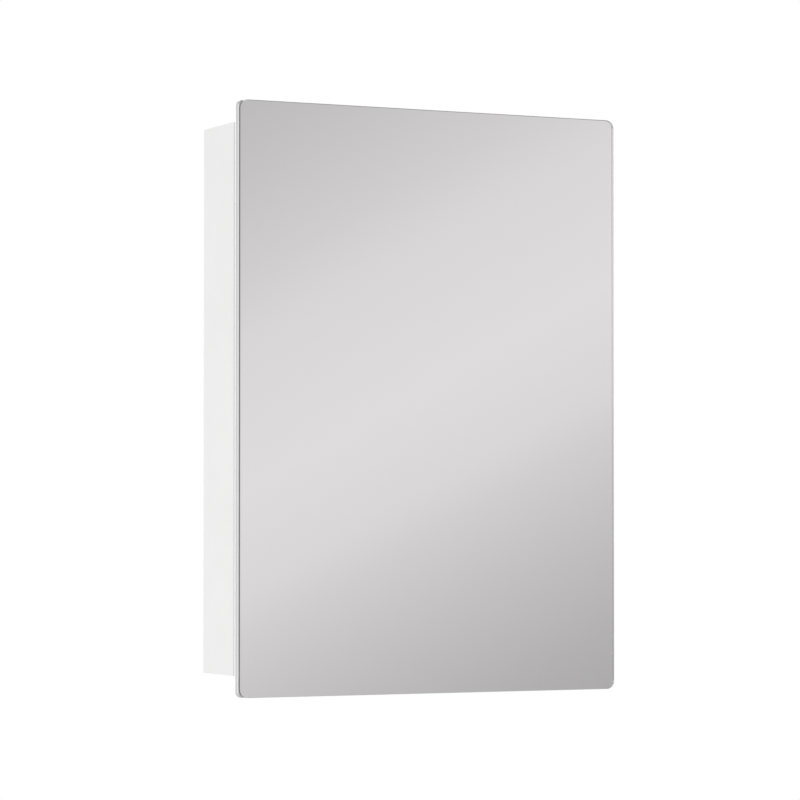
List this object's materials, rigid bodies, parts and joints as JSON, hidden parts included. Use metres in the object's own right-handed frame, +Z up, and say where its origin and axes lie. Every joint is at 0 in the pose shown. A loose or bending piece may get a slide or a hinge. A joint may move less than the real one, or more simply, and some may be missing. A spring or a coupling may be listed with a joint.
{
  "type": "medicine cabinet",
  "caption": "Wall-hung medicine cabinet: white folded-steel carcass, frameless mirror door on a full-length left hinge, glass shelves on slotted rails.",
  "frame": {"origin": "centre of the four wall holes, on the plane of the wall", "axes": "+X to the viewer's right, +Y into the wall, +Z up; the mirror faces -Y"},
  "size_m": [0.5, 0.1125, 0.7],
  "materials": {
    "white_paint": "satin white powder coat",
    "hinge_enamel": "gloss white enamel",
    "silver_paint": "satin silver-grey",
    "zinc_steel": "bright zinc",
    "shelf_glass": "clear, polished edges",
    "mirror_float_glass": "clear, polished edges",
    "mirror_coat": "silvered",
    "foam_tape": "dark grey foam",
    "soft_pad": "soft, translucent",
    "white_plastic": "moulded, fine texture",
    "ferrite": "sintered, matt"
  },
  "bodies": {
    "cabinet": {"left_side_panel": "white_paint", "right_side_panel": "white_paint", "top_panel": "white_paint", "bottom_panel": "white_paint", "back_panel": "white_paint", "back_rivets": "zinc_steel", "wall_plates": "zinc_steel", "left_front_rail": "zinc_steel", "left_rear_rail": "zinc_steel", "right_front_rail": "zinc_steel", "right_rear_rail": "zinc_steel", "upper_shelf_clips": "zinc_steel", "middle_shelf_clips": "zinc_steel", "lower_shelf_clips": "zinc_steel", "clip_pads": "soft_pad", "upper_catch_housing": "white_plastic", "lower_catch_housing": "white_plastic", "catch_magnets": "ferrite", "catch_pole_plates": "zinc_steel", "catch_screws": "zinc_steel", "door_buffers": "soft_pad", "hinge_cabinet_leaf": "hinge_enamel", "hinge_pin": "zinc_steel", "hinge_cabinet_rivets": "zinc_steel"},
    "door": {"hinge_door_leaf": "hinge_enamel", "hinge_door_rivets": "zinc_steel", "door_pan": "silver_paint", "door_liner": "white_paint", "door_stiffeners": "zinc_steel", "mirror_tape": "foam_tape", "mirror_silvering": "mirror_coat", "mirror_glass": "mirror_float_glass", "strike_plates": "zinc_steel", "strike_rivets": "zinc_steel"},
    "upper_shelf": {"upper_shelf": "shelf_glass"},
    "middle_shelf": {"middle_shelf": "shelf_glass"},
    "lower_shelf": {"lower_shelf": "shelf_glass"}
  },
  "joints": [
    {"name": "door_hinge", "type": "hinge", "parent": "cabinet", "child": "door", "pos_m": [-0.2482, -0.096, 0], "axis": [0, 0, -1], "range_deg": [0, 110]},
    {"name": "upper_shelf_lift", "type": "slide", "parent": "cabinet", "child": "upper_shelf", "axis": [0, 0, 1], "range_m": [0, 0.03]},
    {"name": "middle_shelf_lift", "type": "slide", "parent": "cabinet", "child": "middle_shelf", "axis": [0, 0, 1], "range_m": [0, 0.03]},
    {"name": "lower_shelf_lift", "type": "slide", "parent": "cabinet", "child": "lower_shelf", "axis": [0, 0, 1], "range_m": [0, 0.03]}
  ]
}
